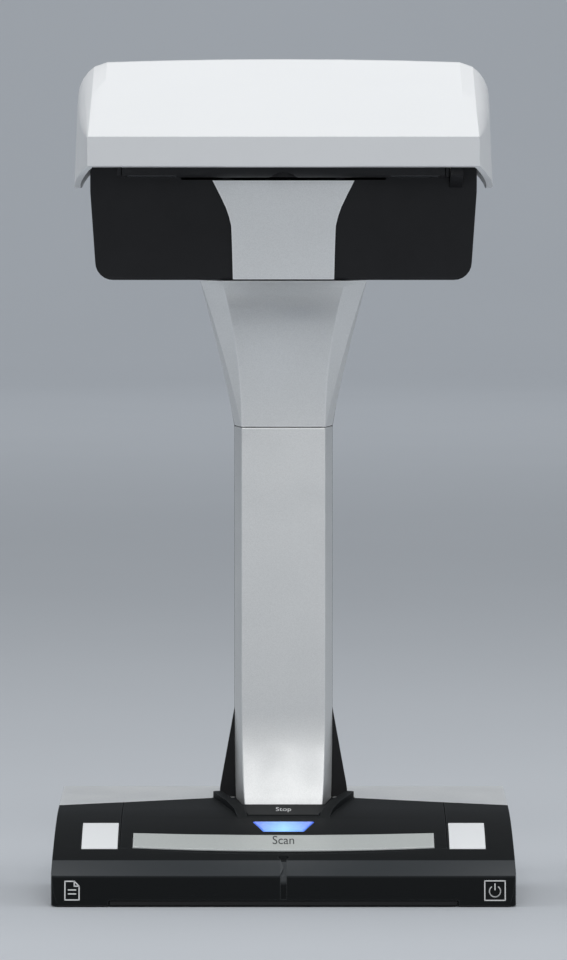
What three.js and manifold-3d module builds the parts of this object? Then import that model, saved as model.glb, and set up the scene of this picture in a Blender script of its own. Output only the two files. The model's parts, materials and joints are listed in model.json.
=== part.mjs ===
// Overhead document scanner: a weighted base with a control panel, a column, and a head whose drum sweeps
// a lens and two lamps over a page lying in front of the base.
// Millimetres, +Z up, +Y away from the user, origin on the table under the middle of the base.

import * as THREE from "three";
import { mergeVertices } from "three/addons/utils/BufferGeometryUtils.js";
import Module from "manifold-3d";

const wasm = await Module();
wasm.setup();

// ---------------------------------------------------------------- driving dimensions

const WALL = 2.5; // moulded covers
const GAP = 0.35; // between neighbouring pieces
const BOARD = 1.6; // circuit boards and sheet-metal plates

const BASE = { halfWidth: 105, topHalfWidth: 103.9, front: -78, rear: 78, bottom: 0.6 };
BASE.noseY = -75.5; // top of the front face
BASE.noseZ = 14;
const DECK = { startY: -66, startZ: 19.9, radius: 169.3, startAngle: 0.4503, endAngle: 0.0454 };
DECK.rearY = 70;
DECK.centreY = DECK.startY + DECK.radius * Math.sin(DECK.startAngle);
DECK.centreZ = DECK.startZ - DECK.radius * Math.cos(DECK.startAngle);

const SEAM = [ // plan line between the black front cover and the silver rear cover, right half
  [106, 9.4],
  [72, 20],
  [31, 33.5],
  [0, 35.8],
];
const PANEL = { halfWidth: 74.2, frontMid: -60.6, frontEnd: -55.6, thickness: 2.2 };
const SCAN = { y: -50.6, halfWidth: 68.6, frontMid: -8.6, frontEnd: -5.4, rearMid: 7, rearEnd: 9.1 };
const STOP = { y: -5.4, frontY: -13.6, rearY: 13.6, frontHalf: 16.2, rearHalf: 21.8 };
const LIGHT = { y: -33, length: 12.8, frontHalf: 9.1, rearHalf: 14.2 };
const COLLAR = { frontX: 18.7, frontY: -19.5, rearX: 30.8, rearY: 34.2, width: 4.2, height: 3 };
const PATCH = { inner: 75.4, outer: 91.8, front: -56.5, rear: -28.7, thickness: 0.8 };
const CONTROL_BOARD = { y: -29, z: 20.55, tilt: 0.2222, halfX: 62, halfY: 31 };
const SWITCH = { halfSize: 3, bodyTop: 3.6, top: 5, scanX: 45 };

const TRAY = { bottom: 0.8, top: 3.8, halfX: 101.6, front: -73.6, rear: 74.6, lipHalf: 78.4 };
const FOOT = { x: 90, y: 62, radius: 7, top: 1.7 };
const TRAY_SCREW = { x: 96.8, frontY: -52, rearY: 50, bossRadius: 3.2 };
const BALLAST = { halfX: 87, front: -50, rear: 70, bottom: 4.2, top: 8.2 };
const MAIN_BOARD = { bottom: 12.3, left: -22, right: 92, front: -44, rear: 72 };
const USB = { x: 45, z: 20, halfX: 6, halfZ: 5.5, mouthX: 4.25, mouthZ: 3.9, front: 61.5, rear: 77.5 };
const JACK = { x: 70, z: 20, halfX: 4.5, halfZ: 5.5, bore: 3.2, pin: 1, front: 63.5, rear: 77.5 };

const COLUMN = { front: 20, faceHalf: 19.5, sideHalf: 22.9, splitY: 37, rear: 56, bottom: 34.5 };
const FLARE = { top: 80, reach: 11, exponent: 2.2, height: 43 }; // foot of the silver column cover
const NECK = { bottom: 212, top: 281.2, rearTop: 303.5, reach: 46 };
const SPINE = { halfX: 13, front: 27, rear: 47, bottom: 8.5, top: 287.7 };

const HEAD = { floor: 281.5, rim: 336, halfWidth: 87.9, bottomHalf: 85.9, rear: 57 };
HEAD.chinY = -27; // bottom of the leaning chin face
HEAD.chinZ = 283;
HEAD.chinTop = 334.2;
HEAD.chinSlope = -0.2264; // y against z
const FRAME = { bottom: 288, halfX: 82, front: -24, rear: 46 };
const HEAD_SCREW = { x: 60, frontY: -12, rearY: 36 };

const HOOD = { lipY: -64, lipZ: 333.8, creaseY: -66, creaseZ: 347, slope: 0.343, crown: 1.6 };
HOOD.crownY = 33; // where the straight top ends
HOOD.rearY = 62;
HOOD.rearTop = 358;
HOOD.edgeHalf = 88; // sharp edges between the top and the side walls
HOOD.rimHalf = 97; // widest part of the rim
HOOD.frontHalf = 88.3; // rim at the front lip
HOOD.rimZ = 323;
HOOD.cornerY = 50; // where the rear corners start
HOOD.corner = 9;
HOOD.shoulderWidth = 7.1; // rounding of the side walls below the sharp edges
HOOD.shoulderDrop = 12;

const DRUM = { y: -48, z: 338, radius: 9.5, inner: 7.7, halfLength: 73, shaft: 2 };
const PULLEY = { start: 75.4, end: 80.6, flange: 0.6, radius: 6 };
const BELT = { start: 76.4, end: 79.6, clearance: 0.35, thickness: 1 };
const REDUCTION = { y: -8, z: 322, teeth: 40, start: 71.6, end: 74.6, pulleyRadius: 3, bore: 1.85 };
const PINION = { y: -0.2, z: 308.49, teeth: 12 };
const GEAR = { module: 0.6, pressureAngle: Math.PI / 9, backlash: 0.12, addendum: 0.7, dedendum: 0.98 };
const MOTOR = { start: 52, end: 68.5, radius: 12 };
const BRACKET = { start: 81.4, end: 83, bush: 3 };

const SIDES = [
  ["left", -1],
  ["right", 1],
];
const FAR = 200; // reach of cutting tools, well past every piece

// ---------------------------------------------------------------- solids from three.js shapes

function toSolid(geometry) {
  const bare = geometry.index ? geometry.toNonIndexed() : geometry.clone();
  bare.deleteAttribute("normal");
  bare.deleteAttribute("uv");
  const merged = mergeVertices(bare, 1e-4);
  const vertProperties = merged.attributes.position.array;
  const triVerts = new Uint32Array(merged.index.array);
  return new wasm.Manifold(new wasm.Mesh({ numProp: 3, vertProperties, triVerts }));
}

function toGeometry(solid) {
  const { vertProperties, triVerts } = solid.getMesh();
  const geometry = new THREE.BufferGeometry();
  geometry.setAttribute("position", new THREE.BufferAttribute(vertProperties, 3));
  geometry.setIndex(new THREE.BufferAttribute(triVerts, 1));
  geometry.computeVertexNormals();
  return geometry;
}

const join = (first, ...others) => others.reduce((sum, other) => sum.add(other), first);
const cut = (body, ...tools) => tools.reduce((rest, tool) => rest.subtract(tool), body);
const common = (first, ...others) => others.reduce((rest, other) => rest.intersect(other), first);

function extrusion(outline, depth, holes = []) {
  const shape = new THREE.Shape(outline.map(([u, v]) => new THREE.Vector2(u, v)));
  for (const hole of holes) {
    shape.holes.push(new THREE.Path(hole.map(([u, v]) => new THREE.Vector2(u, v))));
  }
  return new THREE.ExtrudeGeometry(shape, { depth, bevelEnabled: false });
}

const AXES = {
  x: new THREE.Vector3(1, 0, 0),
  y: new THREE.Vector3(0, 1, 0),
  z: new THREE.Vector3(0, 0, 1),
};
const ALONG_X = new THREE.Matrix4().makeBasis(AXES.y, AXES.z, AXES.x);
const ALONG_Y = new THREE.Matrix4().makeBasis(AXES.x, AXES.z, AXES.y.clone().negate());

// Outline of [y, z] points, extruded from x0 to x1.
function prismX(outline, x0, x1, holes) {
  return toSolid(extrusion(outline, x1 - x0, holes).applyMatrix4(ALONG_X).translate(x0, 0, 0));
}

// Outline of [x, z] points, extruded from y0 to y1.
function prismY(outline, y0, y1, holes) {
  return toSolid(extrusion(outline, y1 - y0, holes).applyMatrix4(ALONG_Y).translate(0, y1, 0));
}

// Outline of [x, y] points, extruded from z0 to z1.
function prismZ(outline, z0, z1, holes) {
  return toSolid(extrusion(outline, z1 - z0, holes).translate(0, 0, z0));
}

function block(x0, x1, y0, y1, z0, z1) {
  const box = new THREE.BoxGeometry(x1 - x0, y1 - y0, z1 - z0);
  return toSolid(box.translate((x0 + x1) / 2, (y0 + y1) / 2, (z0 + z1) / 2));
}

const facets = (radius) => (radius < 3 ? 10 : radius < 9 ? 16 : 32);

function rodX(radius, x0, x1, y = 0, z = 0) {
  const rod = new THREE.CylinderGeometry(radius, radius, x1 - x0, facets(radius));
  return toSolid(rod.rotateZ(Math.PI / 2).translate((x0 + x1) / 2, y, z));
}

function rodY(radius, y0, y1, x = 0, z = 0) {
  const rod = new THREE.CylinderGeometry(radius, radius, y1 - y0, facets(radius));
  return toSolid(rod.translate(x, (y0 + y1) / 2, z));
}

function rodZ(radius, z0, z1, x = 0, y = 0) {
  const rod = new THREE.CylinderGeometry(radius, radius, z1 - z0, facets(radius));
  return toSolid(rod.rotateX(Math.PI / 2).translate(x, y, (z0 + z1) / 2));
}

// Profile of [radius, height] points turned about Z.
function turned(profile, segments = 24) {
  const points = profile.map(([radius, height]) => new THREE.Vector2(radius, height));
  return toSolid(new THREE.LatheGeometry(points, segments).rotateX(Math.PI / 2));
}

// Skin over rings of [x, y, z] points with equal counts. Rings run anticlockwise seen from ahead of them.
function loft(rings, flatten) {
  const count = rings[0].length;
  const last = (rings.length - 1) * count;
  const cap = THREE.ShapeUtils.triangulateShape(rings[0].map(flatten), []);
  const endCap = THREE.ShapeUtils.triangulateShape(rings.at(-1).map(flatten), []);
  const index = [];
  for (let ring = 0; ring < rings.length - 1; ring++) {
    for (let side = 0; side < count; side++) {
      const a = ring * count + side;
      const b = ring * count + ((side + 1) % count);
      index.push(a, b, b + count, a, b + count, a + count);
    }
  }
  cap.forEach(([a, b, c]) => index.push(c, b, a));
  endCap.forEach(([a, b, c]) => index.push(last + a, last + b, last + c));
  const geometry = new THREE.BufferGeometry();
  geometry.setAttribute("position", new THREE.Float32BufferAttribute(rings.flat(2), 3));
  geometry.setIndex(index);
  return toSolid(geometry);
}

const loftUp = (rings) => loft(rings, ([x, y]) => new THREE.Vector2(x, y));
const loftBack = (rings) => loft(rings, ([x, , z]) => new THREE.Vector2(z, x));

// ---------------------------------------------------------------- outlines

const lerp = THREE.MathUtils.lerp;
const steps = (count) => Array.from({ length: count + 1 }, (_, i) => i / count);

// Points on a circular arc, from one angle to another, both included.
function arc(centreU, centreV, radius, from, to, count) {
  return steps(count).map((t) => {
    const angle = lerp(from, to, t);
    return [centreU + radius * Math.cos(angle), centreV + radius * Math.sin(angle)];
  });
}

const rectangle = (u0, u1, v0, v1) => [[u0, v0], [u1, v0], [u1, v1], [u0, v1]];
const mirrored = (half) => [...half, ...half.map(([u, v]) => [-u, v]).reverse()];

function roundedRectangle(halfU, v0, v1, radius, count = 4) {
  const u = halfU - radius;
  const right = [
    ...arc(u, v0 + radius, radius, -Math.PI / 2, 0, count),
    ...arc(u, v1 - radius, radius, 0, Math.PI / 2, count),
  ];
  return mirrored(right);
}

// Moves every side of an anticlockwise outline inwards by a distance.
function insetOutline(outline, distance) {
  const corners = outline.map(([u, v]) => new THREE.Vector2(u, v));
  return corners.map((corner, i) => {
    const before = corner.clone().sub(corners.at(i - 1)).normalize();
    const after = corners[(i + 1) % corners.length].clone().sub(corner).normalize();
    const normal = new THREE.Vector2(-before.y - after.y, before.x + after.x);
    const shift = normal.multiplyScalar(distance / (1 + before.dot(after)));
    return [corner.x + shift.x, corner.y + shift.y];
  });
}

// Depth of a bowed edge at x: mid value in the middle, end value at the half-width.
const bow = (x, halfWidth, mid, end) => lerp(mid, end, (x / halfWidth) ** 2);

// ---------------------------------------------------------------- base: the deck surface

// Where the arc of the top ends; behind it the top runs straight.
const CREST = {
  y: DECK.centreY - DECK.radius * Math.sin(DECK.endAngle),
  z: DECK.centreZ + DECK.radius * Math.cos(DECK.endAngle),
};

const deckAngle = (y) => Math.asin((DECK.centreY - Math.min(y, CREST.y)) / DECK.radius);

function deckHeight(y) {
  if (y > CREST.y) return CREST.z + (y - CREST.y) * Math.tan(DECK.endAngle);
  return DECK.centreZ + DECK.radius * Math.cos(deckAngle(y));
}

// Side view of the top surface, front to rear, raised by a distance along its normal.
function deckCurve(raise, count = 12) {
  const radius = DECK.radius + raise;
  const curve = steps(count).map((t) => {
    const angle = lerp(DECK.startAngle, DECK.endAngle, t);
    return [DECK.centreY - radius * Math.sin(angle), DECK.centreZ + radius * Math.cos(angle)];
  });
  const rearZ = deckHeight(DECK.rearY);
  curve.push([DECK.rearY - raise * Math.sin(DECK.endAngle), rearZ + raise * Math.cos(DECK.endAngle)]);
  return curve;
}

// Layer of the top between two distances from the surface.
function deckLayer(raise, lower, x0 = -BASE.halfWidth, x1 = BASE.halfWidth) {
  return prismX([...deckCurve(lower), ...deckCurve(raise).reverse()], x0, x1);
}

// Group whose +Z is the surface normal at y, for pieces set into the deck.
function onDeck(y) {
  const group = new THREE.Group();
  group.position.set(0, y, deckHeight(y));
  group.rotation.x = deckAngle(y);
  return group;
}

function placedOnDeck(solid, y) {
  const group = onDeck(y);
  group.updateMatrixWorld(true);
  return toSolid(toGeometry(solid).applyMatrix4(group.matrixWorld));
}

// Side view of the whole base, anticlockwise from the bottom of the front face.
function baseProfile() {
  const cornerRadius = BASE.rear - DECK.rearY;
  const top = deckHeight(DECK.rearY) - cornerRadius;
  const overTheTop = [
    [BASE.front, BASE.bottom],
    [BASE.noseY, BASE.noseZ],
    ...deckCurve(0),
    ...arc(DECK.rearY, top, cornerRadius, Math.PI / 2 - 0.2, 0, 4),
    [BASE.rear, BASE.bottom],
  ];
  return overTheTop.reverse();
}

const baseFront = mirrored([
  [BASE.halfWidth, BASE.bottom - 1],
  [BASE.halfWidth, BASE.noseZ],
  [BASE.topHalfWidth, 41],
]);

function baseShell() {
  const plan = roundedRectangle(BASE.halfWidth + 0.01, BASE.front, BASE.rear, 4);
  const outer = common(
    prismX(baseProfile(), -BASE.halfWidth, BASE.halfWidth),
    prismY(baseFront, BASE.front - 1, BASE.rear + 1),
    prismZ(plan, -1, FAR),
  );
  const inside = insetOutline(baseProfile(), WALL).map(([y, z]) => [y, z < 5 ? -5 : z]);
  const insideFront = insetOutline(baseFront, WALL).map(([x, z]) => [x, z < 5 ? -5 : z]);
  const inner = common(
    prismX(inside, -BASE.halfWidth, BASE.halfWidth),
    prismY(insideFront, BASE.front, BASE.rear),
  );
  return cut(outer, inner);
}

const seamLine = (shift) => mirrored(SEAM.map(([x, y]) => [x, y + shift]));

// Plan outline of the control panel, grown by a distance.
function panelOutline(grow) {
  const half = PANEL.halfWidth + grow;
  const front = steps(12).map((t) => {
    const x = lerp(-half, half, t);
    return [x, bow(x, half, PANEL.frontMid, PANEL.frontEnd) - grow];
  });
  const rear = seamLine(0).filter(([x]) => Math.abs(x) < half);
  const cornerY = 20 - (half - 72) * 0.312;
  return [...front, [half, cornerY], ...rear, [-half, cornerY]];
}

const footPlan = (grow) => mirrored([
  [18.1 + grow, 8.9 - grow],
  [22.4 + grow, COLUMN.splitY],
]);

const rearFootPlan = (grow) => rearColumnRing(COLUMN.bottom, 0).map(([x, y]) => [
  x + Math.sign(x) * grow,
  y > COLUMN.splitY + 1 ? y + grow : y - grow,
]);

function trayScrewSpots() {
  return SIDES.flatMap(([side, sign]) => [
    [`front_${side}`, sign * TRAY_SCREW.x, TRAY_SCREW.frontY],
    [`rear_${side}`, sign * TRAY_SCREW.x, TRAY_SCREW.rearY],
  ]);
}

function screwBoss(x, y) {
  const boss = rodZ(TRAY_SCREW.bossRadius, TRAY.top + GAP, deckHeight(y) - 1.2, x, y);
  return cut(boss, rodZ(1.6, 0, 15.5, x, y));
}

// ---------------------------------------------------------------- base: covers

function baseFrontCover() {
  const region = prismZ([...seamLine(0), [-106, -90], [106, -90]], -5, FAR);
  const cover = common(baseShell(), region);
  const panelHole = prismZ(panelOutline(GAP), 4, FAR);
  const raisedEdge = block(-TRAY.lipHalf - 0.6, TRAY.lipHalf + 0.6, -80, -70, -1, 3);
  const patchRecesses = SIDES.map(([, sign]) => {
    const edges = [sign * (PATCH.inner - 0.3), sign * (PATCH.outer + 0.3)].sort((a, b) => a - b);
    const plan = prismZ(rectangle(...edges, PATCH.front - 0.3, PATCH.rear + 0.3), 0, FAR);
    return common(plan, deckLayer(3, -PATCH.thickness - 0.3));
  });
  const grooveWalls = cut(
    prismX(baseProfile(), -1.4, 1.4),
    prismX(insetOutline(baseProfile(), 0.6), -2, 2),
  );
  const groove = common(grooveWalls, block(-2, 2, -80, -62, 3.5, 21));
  const grooveNotch = common(deckLayer(1, -0.8), block(-2.4, 2.4, -65, -62.6, 0, 40));
  const ledges = SIDES.map(([, sign]) => {
    const inner = sign * (PANEL.halfWidth - 3.4);
    const outer = sign * (PANEL.halfWidth + 2);
    const [x0, x1] = [Math.min(inner, outer), Math.max(inner, outer)];
    const shelf = common(deckLayer(-PANEL.thickness - 0.5, -4.4), block(x0, x1, -50, 14, 0, 60));
    const [w0, w1] = [outer, sign * (PANEL.halfWidth + GAP)].sort((a, b) => a - b);
    const web = common(deckLayer(-1.2, -4.4), block(w0, w1, -50, 14, 0, 60));
    return join(shelf, web);
  });
  const bosses = SIDES.map(([, sign]) => screwBoss(sign * TRAY_SCREW.x, TRAY_SCREW.frontY));
  return cut(
    join(cut(cover, panelHole, raisedEdge, ...patchRecesses), ...ledges, ...bosses),
    groove,
    grooveNotch,
  );
}

function baseRearCover() {
  const region = prismZ([...seamLine(GAP), [-106, 90], [106, 90]], -5, FAR);
  const bosses = SIDES.map(([, sign]) => screwBoss(sign * TRAY_SCREW.x, TRAY_SCREW.rearY));
  const socketHoles = [USB, JACK].map((socket) => socketBlock(socket, 70, 80, 0.4));
  const columnHole = join(
    prismZ(rearFootPlan(0.4), 20, 60),
    block(-22.9, 22.9, 30, 42, 20, 60),
  );
  const collarClearance = prismZ(collarOutline(0.35), 20, 60);
  return cut(
    join(common(baseShell(), region), ...bosses),
    ...socketHoles,
    columnHole,
    collarClearance,
  );
}

// Plan outline of the V-shaped ridge round the stop button, grown by a distance.
function collarOutline(grow) {
  const half = COLLAR.width / 2 + grow;
  const lean = Math.atan2(COLLAR.rearX - COLLAR.frontX, COLLAR.rearY - COLLAR.frontY);
  const sideX = half * Math.cos(lean);
  const sideY = half * Math.sin(lean);
  const rightHalf = [
    [COLLAR.frontX + sideX, COLLAR.frontY - half],
    [COLLAR.rearX + sideX, COLLAR.rearY - sideY],
    ...arc(COLLAR.rearX, COLLAR.rearY, half, -lean + 0.4, Math.PI - lean - 0.4, 5),
    [COLLAR.rearX - sideX, COLLAR.rearY + sideY],
    [COLLAR.frontX - sideX, COLLAR.frontY + half * 0.4],
  ];
  return mirrored(rightHalf);
}

function stopOutline(grow) {
  return mirrored([
    [STOP.frontHalf + grow, STOP.frontY - grow],
    [STOP.rearHalf + grow, STOP.rearY + grow],
  ]);
}

function lightOutline(grow) {
  return mirrored([
    [LIGHT.frontHalf + grow, -LIGHT.length / 2 - grow],
    [LIGHT.rearHalf + grow, LIGHT.length / 2 + grow],
  ]);
}

function scanOutline(grow) {
  const half = SCAN.halfWidth + grow;
  const edge = (mid, end, shift) => steps(10).map((t) => {
    const x = lerp(-half, half, t);
    return [x, bow(x, half, mid, end) + shift];
  });
  const front = edge(SCAN.frontMid, SCAN.frontEnd, -grow);
  const rear = edge(SCAN.rearMid, SCAN.rearEnd, grow);
  return [...front, ...rear.reverse()];
}

function controlPanel() {
  const slab = common(prismZ(panelOutline(0), 0, FAR), deckLayer(0, -PANEL.thickness));
  const underRidge = steps(6).map((t) => {
    const y = lerp(COLLAR.frontY - 3, COLLAR.rearY + 6, t);
    return [y, deckHeight(y) - 1.5];
  });
  const overRidge = [
    [COLLAR.rearY + 6, deckHeight(COLLAR.rearY) + COLLAR.height],
    [4, deckHeight(4) + COLLAR.height],
    [-12, deckHeight(-12) + COLLAR.height * 0.75],
    [COLLAR.frontY - 3, deckHeight(COLLAR.frontY - 3) - 0.2],
  ];
  const ridgeSide = prismX([...underRidge, ...overRidge], -40, 40);
  const ridge = common(prismZ(collarOutline(0), 0, FAR), ridgeSide);
  const postSpots = [[58, -22], [30, -22], [58, -36]];
  const posts = SIDES.flatMap(([, sign]) => postSpots.map(([x, y]) => {
    const boardZ = CONTROL_BOARD.z + (y - CONTROL_BOARD.y) * Math.tan(CONTROL_BOARD.tilt);
    return rodZ(2, boardZ + 0.9, deckHeight(y) - 1, sign * x, y);
  }));
  return cut(
    join(slab, ridge, ...posts),
    placedOnDeck(prismZ(scanOutline(0.4), -20, 20), SCAN.y),
    placedOnDeck(prismZ(stopOutline(0.4), -20, 20), STOP.y),
    placedOnDeck(prismZ(lightOutline(0.3), -20, 20), LIGHT.y),
    prismZ(footPlan(0.4), 0, FAR),
  );
}

// Cap with a rounded upper edge, its top standing a little proud of the deck.
function buttonCap(outline, thickness, proud) {
  const round = 0.6;
  const rim = insetOutline(outline, round * 0.35);
  const top = insetOutline(outline, round);
  return loftUp([
    outline.map(([x, y]) => [x, y, -thickness]),
    outline.map(([x, y]) => [x, y, proud - round]),
    rim.map(([x, y]) => [x, y, proud - round * 0.3]),
    top.map(([x, y]) => [x, y, proud]),
  ]);
}

function scanButton() {
  const hollow = prismZ(insetOutline(scanOutline(0), 1.6), -4, -1.6);
  const stems = SIDES.map(([, sign]) => rodZ(2.2, -4.2, -1.2, sign * SWITCH.scanX, 1));
  return join(cut(buttonCap(scanOutline(0), 2.8, 0.4), hollow), ...stems);
}

function stopButton() {
  const hollow = prismZ(insetOutline(stopOutline(0), 1.5), -4, -1.3);
  return join(cut(buttonCap(stopOutline(0), 2.2, 0.4), hollow), rodZ(2.2, -3.4, -1));
}

const statusLight = () => buttonCap(lightOutline(0), 4, 0.15);

function referencePatch(sign) {
  const [x0, x1] = [sign * PATCH.inner, sign * PATCH.outer].sort((a, b) => a - b);
  const plan = prismZ(rectangle(x0, x1, PATCH.front, PATCH.rear), 0, FAR);
  return common(plan, deckLayer(0.1, 0.1 - PATCH.thickness));
}

// ---------------------------------------------------------------- base: inside

const POSTS = [
  [-14, -38],
  [86, -38],
  [40, 66],
  [86, 56],
];

function baseTray() {
  const plate = prismZ(roundedRectangle(TRAY.halfX, TRAY.front, TRAY.rear, 3), TRAY.bottom, TRAY.top);
  const lipTop = TRAY.bottom + 1.8;
  const lip = block(-TRAY.lipHalf, TRAY.lipHalf, BASE.front, TRAY.front + 1, TRAY.bottom, lipTop);
  const posts = POSTS.map(([x, y]) => rodZ(2.5, TRAY.top - 0.5, MAIN_BOARD.bottom - 0.3, x, y));
  const footPockets = feetSpots().map(([, x, y]) => rodZ(FOOT.radius + 0.3, 0, FOOT.top + GAP, x, y));
  const screwHoles = trayScrewSpots().flatMap(([, x, y]) => [
    rodZ(3.2, 0, 2.7, x, y),
    rodZ(1.7, 0, 5, x, y),
  ]);
  return cut(join(plate, lip, ...posts), ...footPockets, ...screwHoles);
}

function feetSpots() {
  return SIDES.flatMap(([side, sign]) => [
    [`front_${side}`, sign * FOOT.x, -FOOT.y],
    [`rear_${side}`, sign * FOOT.x, FOOT.y],
  ]);
}

const rubberFoot = () => turned([
  [0, 0], [FOOT.radius - 0.5, 0], [FOOT.radius, 0.5], [FOOT.radius, FOOT.top], [0, FOOT.top],
], 16);

// Pan-head screw standing on its head at z = 0.
function screw(length) {
  const profile = [
    [0, 0], [2.2, 0], [2.8, 0.5], [2.8, 1.3], [1.3, 1.3], [1.3, length - 1], [0.6, length], [0, length],
  ];
  return cut(turned(profile, 10), block(-1.5, 1.5, -0.35, 0.35, -1, 0.6));
}

function ballastPlate() {
  const outline = roundedRectangle(BALLAST.halfX, BALLAST.front, BALLAST.rear, 6);
  const plate = prismZ(outline, BALLAST.bottom, BALLAST.top);
  return cut(plate, ...POSTS.map(([x, y]) => rodZ(3.2, 0, 10, x, y)));
}

function mainBoard() {
  const top = MAIN_BOARD.bottom + BOARD;
  const outline = [
    [MAIN_BOARD.left, MAIN_BOARD.front],
    [MAIN_BOARD.right, MAIN_BOARD.front],
    [MAIN_BOARD.right, MAIN_BOARD.rear],
    [34, MAIN_BOARD.rear],
    [34, 6],
    [MAIN_BOARD.left, 6],
  ];
  const processor = block(44, 58, -16, -2, top - 0.1, top + 1.2);
  const coil = rodZ(4.5, top - 0.1, top + 5, 74, 30);
  const flatSocket = block(-9, 9, -2, 3, top - 0.1, top + 2.4);
  return join(prismZ(outline, MAIN_BOARD.bottom, top), processor, coil, flatSocket);
}

// Block of a rear socket, grown sideways by a distance.
function socketBlock(socket, front, rear, grow) {
  const halfX = socket.halfX + grow;
  const halfZ = socket.halfZ + grow;
  return block(socket.x - halfX, socket.x + halfX, front, rear, socket.z - halfZ, socket.z + halfZ);
}

function usbSocket() {
  const shell = socketBlock(USB, USB.front, USB.rear, 0);
  const mouth = block(
    USB.x - USB.mouthX, USB.x + USB.mouthX, USB.front + 3, USB.rear + 1,
    USB.z - USB.mouthZ, USB.z + USB.mouthZ,
  );
  const tongue = block(USB.x - 2.8, USB.x + 2.8, USB.front + 2, USB.rear - 5.2, USB.z - 1.6, USB.z + 1.6);
  return join(cut(shell, mouth), tongue);
}

function dcJack() {
  const shell = socketBlock(JACK, JACK.front, JACK.rear, 0);
  const bore = rodY(JACK.bore, JACK.front + 3, JACK.rear + 1, JACK.x, JACK.z);
  const pin = rodY(JACK.pin, JACK.front + 2, JACK.rear - 5.2, JACK.x, JACK.z);
  return join(cut(shell, bore), pin);
}

function controlBoard() {
  const { halfX, halfY } = CONTROL_BOARD;
  const plate = block(-halfX, halfX, -halfY, halfY, -BOARD, 0);
  const lamp = block(-2, 2, -6.5, -3.5, -0.1, 1.4);
  return join(plate, lamp);
}

function tactSwitch() {
  const half = SWITCH.halfSize;
  const body = block(-half, half, -half, half, GAP, SWITCH.bodyTop);
  return join(body, rodZ(1.7, SWITCH.bodyTop - 0.5, SWITCH.top));
}

// ---------------------------------------------------------------- column

// Half-widths and front position of the silver column cover at a height; the foot sweeps forward.
function columnSection(z) {
  const sweep = Math.max(0, (FLARE.top - z) / FLARE.height) ** FLARE.exponent;
  return {
    front: COLUMN.front - FLARE.reach * Math.min(sweep, 1),
    face: COLUMN.faceHalf - 1.4 * Math.min(sweep, 1),
    side: COLUMN.sideHalf - 0.6 * Math.min(sweep, 1),
  };
}

function columnRing(z, inset, rear = COLUMN.splitY) {
  const { front, face, side } = columnSection(z);
  return [
    [-side + inset, rear, z],
    [-face + inset, front + inset, z],
    [face - inset, front + inset, z],
    [side - inset, rear, z],
  ];
}

const FOOT_HEIGHTS = [COLUMN.bottom, 37.5, 41, 45, 49, 54, 60, 66, 73, 80];

function columnFrontCover() {
  const top = NECK.bottom;
  const outer = loftUp([...FOOT_HEIGHTS, top].map((z) => columnRing(z, 0)));
  const openHeights = [COLUMN.bottom - 1, ...FOOT_HEIGHTS, top + 1];
  const inner = loftUp(openHeights.map((z) => columnRing(z, WALL, COLUMN.splitY + 5)));
  return cut(outer, inner);
}

// The neck spreads and sweeps forward on an elliptic curve to meet the head.
function neckSection(z, inset) {
  const rise = THREE.MathUtils.clamp((z - NECK.bottom) / (NECK.top - NECK.bottom), 0, 1);
  const height = NECK.top - NECK.bottom + inset;
  const drop = Math.min(Math.abs(z - NECK.bottom) / height, 1);
  const front = COLUMN.front - NECK.reach + (NECK.reach + inset) * Math.sqrt(1 - drop ** 2);
  const face = 19.42 + 8.9 * rise ** 2;
  const edge = 19.5 + 18.7 * rise ** 1.12;
  return { front, face, edge, side: edge + 3.3 - 2.3 * rise };
}

function neckRing(z, inset, rear = COLUMN.splitY) {
  const { front, face, edge, side } = neckSection(z, inset);
  const edgeY = front + 1.2 * (edge - face);
  return [
    [-side + inset, rear, z],
    [-edge + inset, edgeY, z],
    [-face + inset, front, z],
    [face - inset, front, z],
    [edge - inset, edgeY, z],
    [side - inset, rear, z],
  ];
}

function neckHeights(bottom) {
  return steps(10).map((t) => bottom + (NECK.top - bottom) * Math.sin(t * Math.PI / 2));
}

function neckFrontCover() {
  const heights = neckHeights(NECK.bottom + GAP);
  const outer = loftUp(heights.map((z) => neckRing(z, 0)));
  const openHeights = [NECK.bottom - 1, ...heights.slice(1), NECK.top + 1];
  const inner = loftUp(openHeights.map((z) => neckRing(z, WALL, COLUMN.splitY + 5)));
  return cut(outer, inner);
}

// Black cover behind column and neck, with a flared foot.
function rearColumnRing(z, inset) {
  const flare = 0.18 * Math.max(0, FLARE.top - Math.max(z, 42));
  const neck = z > NECK.bottom ? neckSection(z, 0).side - COLUMN.sideHalf : 0;
  const half = COLUMN.sideHalf + flare + neck;
  const rear = COLUMN.rear + flare + neck * 0.06;
  const front = COLUMN.splitY + GAP;
  const outline = [
    [-half, front],
    [half, front],
    [half, rear - 9],
    [half - 1.2, rear - 4.5],
    [half - 4.5, rear - 1.2],
    [half - 9, rear],
    [-half + 9, rear],
    [-half + 4.5, rear - 1.2],
    [-half + 1.2, rear - 4.5],
    [-half, rear - 9],
  ];
  return insetOutline(outline, inset).map(([x, y]) => [x, y, z]);
}

function columnRearCover() {
  const heights = [COLUMN.bottom, 42, FLARE.top, ...neckHeights(NECK.bottom), NECK.rearTop];
  const outer = loftUp(heights.map((z) => rearColumnRing(z, 0)));
  const inside = [COLUMN.bottom - 1, ...heights.slice(1, -1), NECK.rearTop + 1];
  const inner = loftUp(inside.map((z) => rearColumnRing(z, WALL)));
  const slot = block(-18.5, 18.5, 30, 42, 0, 300);
  const headSpace = prismX(insetOutline(headProfile(HEAD.rim), -GAP), -FAR, FAR);
  return cut(outer, inner, slot, headSpace);
}

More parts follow.
